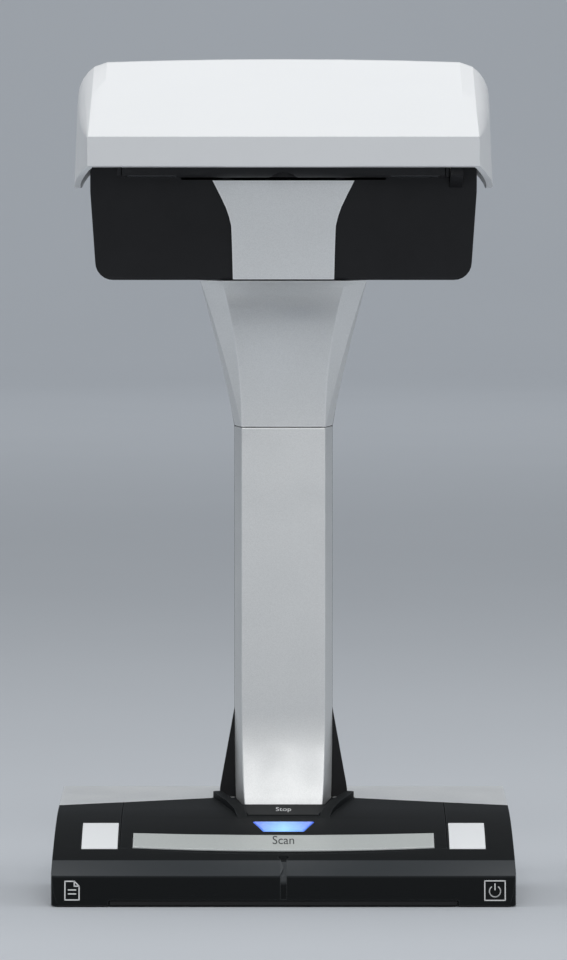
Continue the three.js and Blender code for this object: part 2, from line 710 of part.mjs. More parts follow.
function spine() {
  const { halfX, front, rear, bottom, top } = SPINE;
  const channel = [
    [-halfX, front], [-halfX + WALL, front], [-halfX + WALL, rear - WALL], [halfX - WALL, rear - WALL],
    [halfX - WALL, front], [halfX, front], [halfX, rear], [-halfX, rear],
  ];
  const flange = cut(block(-30, 30, 16, 58, bottom, bottom + WALL), block(-9, 9, 10, 40, 0, 20));
  return join(prismZ(channel, bottom, top), flange);
}

// Flat flex cable: from the main board up inside the spine and forward over the head frame.
function ribbonCable() {
  const bend = 5;
  const thickness = 0.5;
  const upright = 36;
  const lowZ = MAIN_BOARD.bottom + BOARD + 3.2;
  const highZ = 300;
  const outerRun = [
    [2, lowZ],
    ...arc(upright - bend, lowZ + bend, bend, -Math.PI / 2, 0, 5),
    ...arc(upright - bend, highZ - bend, bend, 0, Math.PI / 2, 5),
    [6, highZ],
  ];
  const innerRun = [
    [2, lowZ + thickness],
    ...arc(upright - bend, lowZ + bend, bend - thickness, -Math.PI / 2, 0, 5),
    ...arc(upright - bend, highZ - bend, bend - thickness, 0, Math.PI / 2, 5),
    [6, highZ - thickness],
  ];
  return prismX([...outerRun, ...innerRun.reverse()], -7, 7);
}

// ---------------------------------------------------------------- head: covers

// Front of the leaning chin face at a height, moved forward by a distance.
const chinFace = (z, forward = 0) => HEAD.chinY + (z - HEAD.chinZ) * HEAD.chinSlope - forward;

const headProfile = (top) => [
  [chinFace(top), top],
  [HEAD.chinY, HEAD.chinZ],
  [-25.5, 281.7],
  [-24, HEAD.floor],
  [34, HEAD.floor],
  ...arc(34, 304.5, 23, -Math.PI / 2, 0, 8).slice(1),
  [HEAD.rear, top],
];

const headFront = (top) => mirrored([
  ...arc(HEAD.bottomHalf - 8.2, HEAD.floor + 8.2, 8.2, -Math.PI / 2, 0, 6),
  [HEAD.halfWidth, 322],
  [HEAD.halfWidth, top],
]);

function headLowerCover() {
  const plan = [
    ...arc(-HEAD.halfWidth + 3.01, -37, 3, Math.PI, 1.5 * Math.PI, 3),
    ...arc(HEAD.halfWidth - 3.01, -37, 3, 1.5 * Math.PI, 2 * Math.PI, 3),
    ...arc(HEAD.halfWidth - 12.01, HEAD.rear - 12, 12, 0, Math.PI / 2, 5),
    ...arc(-HEAD.halfWidth + 12.01, HEAD.rear - 12, 12, Math.PI / 2, Math.PI, 5),
  ];
  const outer = common(
    prismX(headProfile(HEAD.rim), -HEAD.halfWidth, HEAD.halfWidth),
    prismY(headFront(HEAD.rim), -60, 70),
    prismZ(plan, 270, HEAD.rim),
  );
  const open = HEAD.rim + 10;
  const inner = common(
    prismX(insetOutline(headProfile(open), WALL), -HEAD.halfWidth, HEAD.halfWidth),
    prismY(insetOutline(headFront(open), WALL), -60, 70),
    prismZ(insetOutline(plan, WALL), 270, FAR * 2),
  );
  const chinEdges = [
    block(-90, 90, -60, -30, HEAD.chinTop, 345),
    block(-46.5, 46.5, -60, -20, 327.3, 345),
    block(-74, -46, -60, -20, 329.3, 345),
    block(50, 72.5, -60, -20, 331, 345),
    block(46, 51, -60, -20, 329.3, 345),
  ];
  const beltNotch = block(PULLEY.start - 0.2, PULLEY.end + 0.5, -42, -30, 325.4, 345);
  const beltGuard = prismX([
    [-58, 329.8], [-57.3, 329], [-35.2, 323.6], [-35.2, 325.2], [-56.4, 330.4], [-56.4, 335], [-58, 335],
  ], PULLEY.start, PULLEY.end + 0.5);
  const clips = SIDES.map(([, sign]) => prismY([
    [sign * 24, 326.6], [sign * 28, 326.6], [sign * 28, 331], [sign * 26.8, 331.6],
    [sign * 26.8, 329.4], [sign * 25.2, 329.4], [sign * 25.2, 331.6], [sign * 24, 331],
  ], -37, -35.2));
  const bosses = headScrewSpots().map(([, x, y]) => rodZ(4, HEAD.floor + 1, FRAME.bottom - 0.3, x, y));
  const screwHoles = headScrewSpots().flatMap(([, x, y]) => [
    rodZ(3.2, 280, HEAD.floor + 1.7, x, y),
    rodZ(1.7, 280, 290, x, y),
  ]);
  const columnHole = block(-20, 20, 20, 50, 270, 290);
  return cut(
    join(cut(outer, inner, ...chinEdges, beltNotch), beltGuard, ...clips, ...bosses),
    ...screwHoles,
    columnHole,
  );
}

function headScrewSpots() {
  return SIDES.flatMap(([side, sign]) => [
    [`front_${side}`, sign * HEAD_SCREW.x, HEAD_SCREW.frontY],
    [`rear_${side}`, sign * HEAD_SCREW.x, HEAD_SCREW.rearY],
  ]);
}

// Silver Y-shaped plate on the chin.
function chinTrim() {
  const outline = mirrored([
    [23.1, 281.9], [23.5, 298.5], [23.8, 306.4], [24.8, 310.6], [26.3, 314.9], [29.2, 321], [32.3, 327.1],
  ]);
  const slab = [
    [chinFace(284, 1.5), 284], [chinFace(327.1, 1.5), 327.1], [chinFace(327.1, GAP), 327.1],
    [chinFace(283.2, GAP), 283.2], [-25.6, 281.3], [-26.6, 281], [chinFace(282, 1.2), 282],
  ];
  return common(prismY(outline, -60, 0), prismX(slab, -40, 40));
}

// How far the side walls have spread at y: 0 at the front, 1 at the crown and behind it.
function hoodSpread(y) {
  const ahead = Math.max(0, (HOOD.crownY - y) / (HOOD.crownY - HOOD.creaseY));
  return 1 - ahead ** 2;
}

// Height of the top at y, straight as far as the crown and rounded down behind it.
function hoodTop(y) {
  const straight = HOOD.creaseZ + HOOD.slope * (Math.min(y, HOOD.crownY) - HOOD.creaseY);
  const past = Math.max(0, (y - HOOD.crownY) / (HOOD.rearY - HOOD.crownY));
  return straight + 5 * past - (straight + 5 - HOOD.rearTop) * (1 - Math.sqrt(1 - past ** 2));
}

// Rounded side wall, from [x, z] at the sharp edge down to [x, z] where the wall runs straight.
function hoodShoulder([edgeX, edgeZ], [sideX, sideZ]) {
  const from = 0.6;
  const to = 1.48;
  return steps(4).map((t) => {
    const angle = lerp(from, to, t);
    const across = (Math.sin(angle) - Math.sin(from)) / (Math.sin(to) - Math.sin(from));
    const down = (Math.cos(from) - Math.cos(angle)) / (Math.cos(from) - Math.cos(to));
    return [lerp(edgeX, sideX, across), lerp(edgeZ, sideZ, down)];
  });
}

// Cross-section of the hood at y, from the left rim over the top to the right rim.
function hoodRing(y, inset) {
  const spread = hoodSpread(y);
  const topZ = hoodTop(y) - inset;
  const crown = HOOD.crown * Math.min(1, (y - HOOD.creaseY) / 90);
  const roundedBy = Math.max(0, (y - HOOD.cornerY) / (HOOD.rearY - HOOD.cornerY));
  const corner = HOOD.corner * (1 - Math.sqrt(1 - roundedBy ** 2));
  const outerRim = lerp(HOOD.frontHalf, HOOD.rimHalf, spread) - corner;
  const rise = Math.min(1, (HOOD.rimHalf - outerRim) / (HOOD.rimHalf - HOOD.frontHalf)) ** 0.65;
  const openBy = inset > 0 ? 8 : 0; // the hollow runs out through the rim
  const rim = [outerRim - inset, lerp(HOOD.rimZ, HOOD.lipZ, rise) - openBy];
  const sideX = HOOD.frontHalf + HOOD.shoulderWidth * spread - corner - inset;
  const edgeX = Math.min(HOOD.edgeHalf - corner - 0.57 * inset, sideX - 0.3);
  const edgeZ = topZ - 1.9 * spread + 0.18 * inset;
  const sideZ = edgeZ - 0.5 - HOOD.shoulderDrop * spread;
  const shoulder = hoodShoulder([edgeX, edgeZ], [sideX, sideZ]).reverse();
  const top = [82, 56, 28, 0].map((x) => {
    const widthPart = x / HOOD.edgeHalf;
    return [x * (1 - corner / HOOD.edgeHalf), topZ + crown * (1 - widthPart ** 2)];
  });
  const right = [rim, ...shoulder, ...top];
  const left = right.slice(0, -1).map(([x, z]) => [-x, z]);
  const ring = [...left, ...right.reverse()];
  const isFront = y <= HOOD.creaseY + inset;
  return ring.map(([x, z]) => {
    const lipPart = (HOOD.creaseZ - z) / (HOOD.creaseZ - HOOD.lipZ);
    return [x, isFront ? lerp(y, y + HOOD.lipY - HOOD.creaseY, lipPart) : y, z];
  });
}

function hood() {
  const straight = [-61, -50, -35, -20, -5, 10, 22, HOOD.crownY];
  const rounded = [40, 46, 51, 55, 58, 60.3, 61.5, HOOD.rearY];
  const stations = [...straight, ...rounded];
  const outer = loftBack([HOOD.creaseY, ...stations].map((y) => hoodRing(y, 0)));
  const last = HOOD.rearY - WALL;
  const inside = [HOOD.creaseY + WALL, ...stations.slice(1).filter((y) => y < last), last];
  const inner = loftBack(inside.map((y) => hoodRing(y, WALL)));
  return cut(outer, inner);
}

// ---------------------------------------------------------------- head: frame and brackets

function headFrame() {
  const { bottom, halfX, front, rear } = FRAME;
  const deck = block(-halfX, halfX, front, rear, bottom, bottom + BOARD);
  const window = block(-9, 9, 30, 41, 280, 300);
  const lightening = SIDES.map(([, sign]) => {
    const [x0, x1] = [sign * 24, sign * 44].sort((a, b) => a - b);
    return block(x0, x1, -12, 30, 280, 300);
  });
  const holes = headScrewSpots().map(([, x, y]) => rodZ(1.7, 280, 300, x, y));
  return cut(deck, window, ...lightening, ...holes);
}

// Upright plate that carries one end of the drum; its arm passes over the chin wall. Right-hand form.
function drumBracket() {
  const foot = FRAME.bottom + BOARD + 0.3;
  const side = [
    [-24.5, foot], [-1, foot], [-1, 300], [-16, 345.5], [-51, 345.5],
    [-55.5, 341], [-55.5, 336], [-53, 333.4], [-42, 333.4], [-41, 336.7], [-35.2, 336.7], [-33.4, 330],
  ];
  const plate = prismX(side, BRACKET.start, BRACKET.end);
  const flange = block(74, BRACKET.start + 0.5, -24.5, -1, foot, foot + BOARD);
  return cut(join(plate, flange), rodX(BRACKET.bush + 0.3, 70, 90, DRUM.y, DRUM.z));
}

function bush() {
  const outer = rodX(BRACKET.bush, BRACKET.start - 0.2, BRACKET.end + 0.2);
  return cut(outer, rodX(DRUM.shaft + 0.3, 70, 90));
}

function motorBracket() {
  const foot = FRAME.bottom + BOARD + 0.3;
  const side = [
    [-22, foot], [17, foot], [17, 312], [2, 329], [-16, 331], [-22, 318],
  ];
  const plate = prismX(side, 69, 69 + BOARD);
  const flange = block(56, 69.5, -20, 16, foot, foot + BOARD);
  return cut(
    join(plate, flange),
    rodX(4.4, 60, 80, PINION.y, PINION.z),
    rodX(REDUCTION.bore, 60, 80, REDUCTION.y, REDUCTION.z),
  );
}

function stepperMotor() {
  const can = rodX(MOTOR.radius, MOTOR.start, MOTOR.end);
  const nose = rodX(4, MOTOR.end - 0.5, MOTOR.end + 1.6);
  const socket = block(MOTOR.start + 3, MOTOR.start + 10, 9, 14.5, -4, 4);
  return cut(join(can, nose, socket), rodX(1.35, MOTOR.end - 6, MOTOR.end + 4));
}

// ---------------------------------------------------------------- head: drive

// Involute outline in a [y, z] plane, with one tooth centred on a direction.
function gearOutline(teeth, direction) {
  const pitch = teeth * GEAR.module / 2;
  const base = pitch * Math.cos(GEAR.pressureAngle);
  const root = pitch - GEAR.dedendum * GEAR.module;
  const tip = pitch + GEAR.addendum * GEAR.module;
  const involute = (radius) => {
    const angle = Math.acos(Math.min(1, base / radius));
    return Math.tan(angle) - angle;
  };
  const halfTooth = (Math.PI * GEAR.module / 2 - GEAR.backlash) / 2 / pitch;
  const halfAngle = (radius) => halfTooth + involute(pitch) - involute(radius);
  const radii = [root, base, pitch, tip].filter((radius) => radius >= root);
  const outline = [];
  for (let tooth = 0; tooth < teeth; tooth++) {
    const centre = direction + tooth * 2 * Math.PI / teeth;
    const rising = radii.map((radius) => [radius, centre - halfAngle(radius)]);
    const falling = radii.map((radius) => [radius, centre + halfAngle(radius)]).reverse();
    for (const [radius, angle] of [...rising, ...falling]) {
      outline.push([radius * Math.cos(angle), radius * Math.sin(angle)]);
    }
  }
  return outline;
}

const MESH_DIRECTION = Math.atan2(PINION.z - REDUCTION.z, PINION.y - REDUCTION.y);

function flangedPulley(radius, flangeHeight, start, end) {
  return join(
    rodX(radius, start, end),
    rodX(radius + flangeHeight, start, start + PULLEY.flange),
    rodX(radius + flangeHeight, end - PULLEY.flange, end),
  );
}

function reductionGear() {
  const wheel = prismX(gearOutline(REDUCTION.teeth, MESH_DIRECTION), REDUCTION.start, REDUCTION.end);
  const web = rodX(10, REDUCTION.end - 0.9, REDUCTION.end + 1);
  const recess = cut(web, rodX(5.5, 60, 90));
  const pulley = flangedPulley(REDUCTION.pulleyRadius, 1.4, REDUCTION.end - 0.1, PULLEY.end);
  return cut(join(cut(wheel, recess), pulley), rodX(REDUCTION.bore, 60, 90));
}

function gearAxle() {
  return join(rodX(2.6, 67.2, 68.6), rodX(1.5, 68, 81.2), rodX(2.4, 80.8, 81.1));
}

function motorPinion() {
  const halfPitch = Math.PI / PINION.teeth;
  const wheel = prismX(
    gearOutline(PINION.teeth, MESH_DIRECTION + Math.PI + halfPitch), REDUCTION.start, REDUCTION.end,
  );
  return join(wheel, rodX(1, MOTOR.end - 5, REDUCTION.end + 1.2));
}

// Outline of a band round both pulleys at a distance from their running surfaces.
function bandOutline(distance) {
  const drum = new THREE.Vector2(DRUM.y, DRUM.z);
  const reduction = new THREE.Vector2(REDUCTION.y, REDUCTION.z);
  const line = reduction.clone().sub(drum);
  const spread = Math.acos((PULLEY.radius - REDUCTION.pulleyRadius) / line.length());
  const ahead = line.angle();
  const drumRadius = PULLEY.radius + distance;
  const reductionRadius = REDUCTION.pulleyRadius + distance;
  return [
    ...arc(drum.x, drum.y, drumRadius, ahead + spread, ahead + 2 * Math.PI - spread, 16),
    ...arc(reduction.x, reduction.y, reductionRadius, ahead - spread, ahead + spread, 10),
  ];
}

function driveBelt() {
  const inside = bandOutline(BELT.clearance).reverse();
  return prismX(bandOutline(BELT.clearance + BELT.thickness), BELT.start, BELT.end, [inside]);
}

// ---------------------------------------------------------------- head: scan drum, about its own axis

const LAMP = { start: 48, end: 71, halfAngle: 0.42 };
const LENS = { barrel: 6, bore: 4.6, stop: 3.6, top: -3, seat: -6.1, bottom: -9.3, glass: 4.25 };
const DOWN = -Math.PI / 2;

function drumSector(outerRadius, innerRadius, halfAngle, x0, x1) {
  const outline = [
    ...arc(0, 0, outerRadius, DOWN - halfAngle, DOWN + halfAngle, 6),
    ...arc(0, 0, innerRadius, DOWN + halfAngle, DOWN - halfAngle, 6),
  ];
  return prismX(outline, x0, x1);
}

const mirroredSpan = (sign, x0, x1) => (sign > 0 ? [x0, x1] : [-x1, -x0]);

function scanDrum() {
  const tube = cut(
    rodX(DRUM.radius, -DRUM.halfLength, DRUM.halfLength),
    rodX(DRUM.inner, -FAR, FAR),
  );
  const lampSlots = SIDES.map(([, sign]) => drumSector(
    12, 5, LAMP.halfAngle, ...mirroredSpan(sign, LAMP.start, LAMP.end),
  ));
  const cableSlot = block(-12, 12, 4, 12, 1, 6);
  return cut(tube, rodZ(LENS.barrel + 0.35, -20, 0), ...lampSlots, cableSlot);
}

// Right-hand end cap with its stub shaft.
function drumCap() {
  const start = DRUM.halfLength + GAP;
  return join(rodX(DRUM.radius, start, start + 1.7), rodX(DRUM.shaft, start + 1, BRACKET.end + 1.2));
}

function drumPulley() {
  const hub = flangedPulley(PULLEY.radius, 1.5, PULLEY.start, PULLEY.end);
  return cut(hub, rodX(DRUM.shaft + 0.3, 60, 90));
}

function lensBarrel() {
  const { barrel, bore, stop, top, seat, bottom } = LENS;
  const profile = [
    [bore, top], [bore, seat], [stop, seat - 0.2], [stop, seat - 0.8], [bore, bottom],
    [barrel, bottom], [barrel, top],
  ];
  return turned([...profile, profile[0]], 20);
}

function lensGlass() {
  const { glass, seat } = LENS;
  const dome = steps(4).map((t) => [glass * t, seat + 0.5 - 0.7 * (1 - t ** 2)]);
  return turned([...dome, [glass, seat + 2], [0, seat + 2.6]], 20);
}

const lampLens = (sign) => drumSector(
  DRUM.radius - 0.1, DRUM.inner + 0.2, LAMP.halfAngle - 0.045,
  ...mirroredSpan(sign, LAMP.start + 0.4, LAMP.end - 0.4),
);

const lampBoard = (sign) => {
  const [x0, x1] = mirroredSpan(sign, LAMP.start, LAMP.end);
  const plate = block(x0, x1, -3.6, 3.6, -3.2, -2);
  const dies = steps(3).map((t) => {
    const start = lerp(x0 + 2, x1 - 5, t);
    return block(start, start + 3, -1.5, 1.5, -4, -3);
  });
  return join(plate, ...dies);
};

function sensorBoard() {
  return join(block(-22, 22, -6, 6, 0.4, 2), block(-10, 10, -2.5, 2.5, -1.6, 0.5));
}

// ---------------------------------------------------------------- materials

function finish(color, roughness, metalness = 0) {
  return new THREE.MeshStandardMaterial({ color, roughness, metalness });
}
const FINISH = {
  blackShell: finish(0x222225, 0.5),
  blackDeck: finish(0x2b2f32, 0.45),
  whiteShell: finish(0xeeeff1, 0.35),
  silverShell: finish(0xbebec0, 0.42, 0.2),
  silverButton: finish(0xabb0ad, 0.4, 0.2),
  steel: finish(0x8d9196, 0.35, 0.9),
  zinc: finish(0xa9adb0, 0.4, 0.8),
  rubber: finish(0x1a1a1a, 0.9),
  board: finish(0x1f6a3c, 0.5),
  whiteTile: finish(0xf2f3f3, 0.6),
  lightLens: finish(0x4f86f5, 0.2),
  lampLens: finish(0xdfe6ea, 0.15),
  glass: finish(0x26303c, 0.05),
  gearPlastic: finish(0xe6e2d6, 0.5),
  brass: finish(0xb89a55, 0.35, 0.9),
  ribbon: finish(0xd9d4c4, 0.6),
};

// ---------------------------------------------------------------- assembly

const scanner = new THREE.Group();

function add(name, solid, material, parent = scanner) {
  const mesh = new THREE.Mesh(toGeometry(solid), material);
  mesh.name = name;
  parent.add(mesh);
  return mesh;
}

add("base_tray", baseTray(), FINISH.blackShell);
add("ballast_plate", ballastPlate(), FINISH.steel);
add("base_front_cover", baseFrontCover(), FINISH.blackDeck);
add("base_rear_cover", baseRearCover(), FINISH.silverShell);
add("control_panel", controlPanel(), FINISH.blackDeck);
for (const [spot, x, y] of feetSpots()) {
  add(`rubber_foot_${spot}`, rubberFoot(), FINISH.rubber).position.set(x, y, 0);
}
for (const [spot, x, y] of trayScrewSpots()) {
  add(`tray_screw_${spot}`, screw(12.5), FINISH.zinc).position.set(x, y, 1.1);
}
for (const [side, sign] of SIDES) {
  add(`reference_patch_${side}`, referencePatch(sign), FINISH.whiteTile);
}

const scanSpot = onDeck(SCAN.y);
const stopSpot = onDeck(STOP.y);
const lightSpot = onDeck(LIGHT.y);
scanner.add(scanSpot, stopSpot, lightSpot);
add("scan_button", scanButton(), FINISH.silverButton, scanSpot);
add("stop_button", stopButton(), FINISH.blackDeck, stopSpot);
add("status_light", statusLight(), FINISH.lightLens, lightSpot);

const boardGroup = new THREE.Group();
boardGroup.position.set(0, CONTROL_BOARD.y, CONTROL_BOARD.z);
boardGroup.rotation.x = CONTROL_BOARD.tilt;
scanner.add(boardGroup);
add("control_board", controlBoard(), FINISH.board, boardGroup);
const scanSwitchY = (SCAN.y + 1.4 - CONTROL_BOARD.y) / Math.cos(CONTROL_BOARD.tilt);
const stopSwitchY = (STOP.y + 0.6 - CONTROL_BOARD.y) / Math.cos(CONTROL_BOARD.tilt);
for (const [side, sign] of SIDES) {
  const switchMesh = add(`scan_switch_${side}`, tactSwitch(), FINISH.blackShell, boardGroup);
  switchMesh.position.set(sign * SWITCH.scanX, scanSwitchY, 0);
}
add("stop_switch", tactSwitch(), FINISH.blackShell, boardGroup).position.set(0, stopSwitchY, 0);

add("main_board", mainBoard(), FINISH.board);
add("usb_socket", usbSocket(), FINISH.steel);
add("dc_jack", dcJack(), FINISH.blackShell);

add("spine", spine(), FINISH.steel);
add("column_front_cover", columnFrontCover(), FINISH.silverShell);
add("neck_front_cover", neckFrontCover(), FINISH.silverShell);
add("column_rear_cover", columnRearCover(), FINISH.blackShell);
add("ribbon_cable", ribbonCable(), FINISH.ribbon);

add("head_lower_cover", headLowerCover(), FINISH.blackShell);
add("hood", hood(), FINISH.whiteShell);
add("chin_trim", chinTrim(), FINISH.silverShell);
add("head_frame", headFrame(), FINISH.steel);
for (const [spot, x, y] of headScrewSpots()) {
  add(`head_screw_${spot}`, screw(8), FINISH.zinc).position.set(x, y, HEAD.floor + 0.2);
}

for (const [side, sign] of SIDES) {
  add(`drum_bracket_${side}`, drumBracket(), FINISH.zinc).scale.x = sign;
}
add("motor_bracket", motorBracket(), FINISH.zinc);
add("stepper_motor", stepperMotor(), FINISH.steel).position.set(0, PINION.y, PINION.z);
add("motor_pinion", motorPinion(), FINISH.brass).position.set(0, PINION.y, PINION.z);
add("gear_axle", gearAxle(), FINISH.steel).position.set(0, REDUCTION.y, REDUCTION.z);
add("reduction_gear", reductionGear(), FINISH.gearPlastic).position.set(0, REDUCTION.y, REDUCTION.z);
add("drive_belt", driveBelt(), FINISH.rubber);

const drum = new THREE.Group();
drum.position.set(0, DRUM.y, DRUM.z);
scanner.add(drum);
add("scan_drum", scanDrum(), FINISH.blackShell, drum);
add("drum_pulley", drumPulley(), FINISH.gearPlastic, drum);
add("lens_barrel", lensBarrel(), FINISH.blackShell, drum);
add("lens_glass", lensGlass(), FINISH.glass, drum);
add("sensor_board", sensorBoard(), FINISH.board, drum);
for (const [side, sign] of SIDES) {
  add(`drum_cap_${side}`, drumCap(), FINISH.blackShell, drum).scale.x = sign;
  add(`drum_bush_${side}`, bush(), FINISH.brass, drum).scale.x = sign;
  add(`lamp_lens_${side}`, lampLens(sign), FINISH.lampLens, drum);
  add(`lamp_board_${side}`, lampBoard(sign), FINISH.board, drum);
}

export default scanner;
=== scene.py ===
# Looks of the overhead document scanner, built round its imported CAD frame. Metres, +Z up, +Y to the rear.

import json
import math

import bpy
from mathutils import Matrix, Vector


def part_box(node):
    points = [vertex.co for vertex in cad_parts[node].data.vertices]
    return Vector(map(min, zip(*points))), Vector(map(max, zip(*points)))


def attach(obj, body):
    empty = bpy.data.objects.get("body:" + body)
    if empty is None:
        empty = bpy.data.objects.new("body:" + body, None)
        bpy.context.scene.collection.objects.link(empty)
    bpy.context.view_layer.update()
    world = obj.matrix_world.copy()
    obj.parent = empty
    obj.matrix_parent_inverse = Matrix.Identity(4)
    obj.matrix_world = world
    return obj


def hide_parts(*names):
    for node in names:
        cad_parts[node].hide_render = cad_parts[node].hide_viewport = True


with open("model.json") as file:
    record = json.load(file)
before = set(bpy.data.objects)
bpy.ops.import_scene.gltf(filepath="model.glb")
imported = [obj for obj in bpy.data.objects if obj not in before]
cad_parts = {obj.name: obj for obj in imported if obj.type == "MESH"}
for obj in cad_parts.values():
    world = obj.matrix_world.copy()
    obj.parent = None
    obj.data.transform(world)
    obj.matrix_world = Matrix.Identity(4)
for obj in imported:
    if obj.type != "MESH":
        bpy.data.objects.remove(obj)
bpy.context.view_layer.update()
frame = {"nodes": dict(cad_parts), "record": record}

MM = 0.001
NODES = frame["nodes"]
BODY_OF = {
    node: body
    for body, names in frame["record"]["behaviour"]["bodies"].items()
    for node in names
}
SLOT_OF = {row["node"]: row["material_slot"] for row in frame["record"]["subparts"]}


def placed(name, data):
    """A new object with this data, linked into the scene."""
    made = bpy.data.objects.new(name, data)
    bpy.context.scene.collection.objects.link(made)
    return made


# ---------------------------------------------------------------- shader helpers

COAT_ROUGHNESS = 0.18
EDGE_SAMPLES = 4
EDGE_REACH = 0.6 * MM

# Places of the colour sockets in a Mix node, after its float and vector ones.
MIX_FACTOR, MIX_FIRST, MIX_SECOND, MIX_RESULT = 0, 6, 7, 2


class Shader:
    """A Principled material whose colour, roughness and bump are built from procedural layers."""

    def __init__(self, name, roughness, metallic=0.0, coat=0.0, specular=0.5):
        self.material = bpy.data.materials.new(name)
        self.material.use_nodes = True
        self.tree = self.material.node_tree
        self.bsdf = self.tree.nodes["Principled BSDF"]
        self.bsdf.inputs["Roughness"].default_value = roughness
        self.bsdf.inputs["Metallic"].default_value = metallic
        self.bsdf.inputs["Coat Weight"].default_value = coat
        self.bsdf.inputs["Coat Roughness"].default_value = COAT_ROUGHNESS
        self.bsdf.inputs["Specular IOR Level"].default_value = specular
        self.place = self.node("ShaderNodeTexCoord").outputs["Object"]
        self.bump = None

    def node(self, kind, **settings):
        made = self.tree.nodes.new(kind)
        for key, value in settings.items():
            setattr(made, key, value)
        return made

    def link(self, source, target):
        self.tree.links.new(source, target)

    def scaled_place(self, per_metre, stretch=(1, 1, 1)):
        """Object coordinates, scaled so that one unit is one feature."""
        mapping = self.node("ShaderNodeMapping")
        mapping.inputs["Scale"].default_value = [per_metre * factor for factor in stretch]
        self.link(self.place, mapping.inputs["Vector"])
        return mapping.outputs["Vector"]

    def axes(self):
        """Object coordinates as separate sockets named X, Y and Z."""
        split = self.node("ShaderNodeSeparateXYZ")
        self.link(self.place, split.inputs["Vector"])
        return split.outputs

    def noise(self, per_metre, detail=2.0, stretch=(1, 1, 1), roughness=0.5):
        """Noise value 0 to 1, with a number of features per metre along each axis."""
        texture = self.node("ShaderNodeTexNoise")
        texture.inputs["Scale"].default_value = 1.0
        texture.inputs["Detail"].default_value = detail
        texture.inputs["Roughness"].default_value = roughness
        self.link(self.scaled_place(per_metre, stretch), texture.inputs["Vector"])
        return texture.outputs["Fac"]

    def flow(self):
        """Slow variation along the way the plastic filled its mould."""
        return self.noise(22, detail=3.0, stretch=(1, 1, 0.6))

    def specks(self, amount):
        """Tiny sparse spots, up to the given amount."""
        return self.ranged(self.noise(3200, detail=1.0), 0.0, amount, 0.45, 0.75)

    def cells(self, per_metre):
        """Random value 0 to 1, constant within small cells."""
        texture = self.node("ShaderNodeTexVoronoi")
        texture.inputs["Scale"].default_value = 1.0
        self.link(self.scaled_place(per_metre), texture.inputs["Vector"])
        split = self.node("ShaderNodeSeparateColor")
        self.link(texture.outputs["Color"], split.inputs["Color"])
        return split.outputs["Red"]

    def ranged(self, value, low, high, from_low=0.0, from_high=1.0):
        """The value carried from one range to another, held within the second."""
        scale = self.node("ShaderNodeMapRange")
        scale.inputs["From Min"].default_value = from_low
        scale.inputs["From Max"].default_value = from_high
        scale.inputs["To Min"].default_value = low
        scale.inputs["To Max"].default_value = high
        self.link(value, scale.inputs["Value"])
        return scale.outputs["Result"]

    def multiplied(self, first, second):
        product = self.node("ShaderNodeMath", operation="MULTIPLY")
        self.link(first, product.inputs[0])
        self.link(second, product.inputs[1])
        return product.outputs["Value"]

    def mix(self, factor, first, second, blend="MIX"):
        """Two colours mixed. Each argument is a socket, or else a number or a colour."""
        mixer = self.node("ShaderNodeMix", data_type="RGBA", blend_type=blend)
        for index, value in ((MIX_FACTOR, factor), (MIX_FIRST, first), (MIX_SECOND, second)):
            socket = mixer.inputs[index]
            if isinstance(value, bpy.types.NodeSocket):
                self.link(value, socket)
            else:
                socket.default_value = value if isinstance(value, float) else (*value, 1.0)
        return mixer.outputs[MIX_RESULT]

    def scaled_colour(self, socket, factor):
        """The colour of a socket, multiplied by a grey."""
        return self.mix(1.0, socket, (factor, factor, factor), blend="MULTIPLY")

    def edges(self, radius=EDGE_REACH, start=0.995, full=0.86):
        """1 where the surface turns sharply within the radius, 0 on open surface."""
        bevel = self.node("ShaderNodeBevel", samples=EDGE_SAMPLES)
        bevel.inputs["Radius"].default_value = radius
        geometry = self.node("ShaderNodeNewGeometry")
        dot = self.node("ShaderNodeVectorMath", operation="DOT_PRODUCT")
        self.link(bevel.outputs["Normal"], dot.inputs[0])
        self.link(geometry.outputs["Normal"], dot.inputs[1])
        return self.ranged(dot.outputs["Value"], 0.0, 1.0, start, full)

    def set_roughness(self, socket):
        self.link(socket, self.bsdf.inputs["Roughness"])

    def add_bump(self, height, distance):
        bump = self.node("ShaderNodeBump")
        bump.inputs["Strength"].default_value = 1.0
        bump.inputs["Distance"].default_value = distance
        self.link(height, bump.inputs["Height"])
        if self.bump is not None:
            self.link(self.bump, bump.inputs["Normal"])
        self.bump = bump.outputs["Normal"]

    def finish(self, colour):
        self.link(colour, self.bsdf.inputs["Base Color"])
        if self.bump is not None:
            self.link(self.bump, self.bsdf.inputs["Normal"])
        return self.material


def tinted(colour, factor):
    return tuple(channel * factor for channel in colour)


def moulded(name, colour, roughness, mottle=0.03, grain=900, grain_depth=0.012, edge_tint=0.12, edge_tint_colour=None,
            coat=0.0, specular=0.5):
    """Moulded plastic: spark-eroded grain, faint flow mottling, handling sheen; edge tint is wear plus
    painted highlight.
    """
    s = Shader(name, roughness, coat=coat, specular=specular)
    body = s.mix(s.flow(), tinted(colour, 1 - mottle), tinted(colour, 1 + mottle))
    body = s.mix(s.specks(mottle * 1.6), body, tinted(colour, 1.5))
    patchy = s.ranged(s.noise(160, detail=4.0), 0.35, 1.0)
    # Edge tint: partly wear and partly a painted highlight, strongest on the hood's creases.
    worn_and_highlit_edges = s.ranged(s.multiplied(s.edges(), patchy), 0.0, edge_tint)
    body = s.mix(worn_and_highlit_edges, body, edge_tint_colour or tinted(colour, 1.9))
    handled = s.noise(45, detail=5.0, roughness=0.62)
    s.set_roughness(s.ranged(handled, roughness - 0.07, roughness + 0.07, 0.3, 0.7))
    s.add_bump(s.noise(grain, detail=2.0), grain_depth * MM)
    return s.finish(body)


BAND_FRONT = -75.5 * MM
BAND_REAR = -66.0 * MM
BAND_FADE = 0.2 * MM


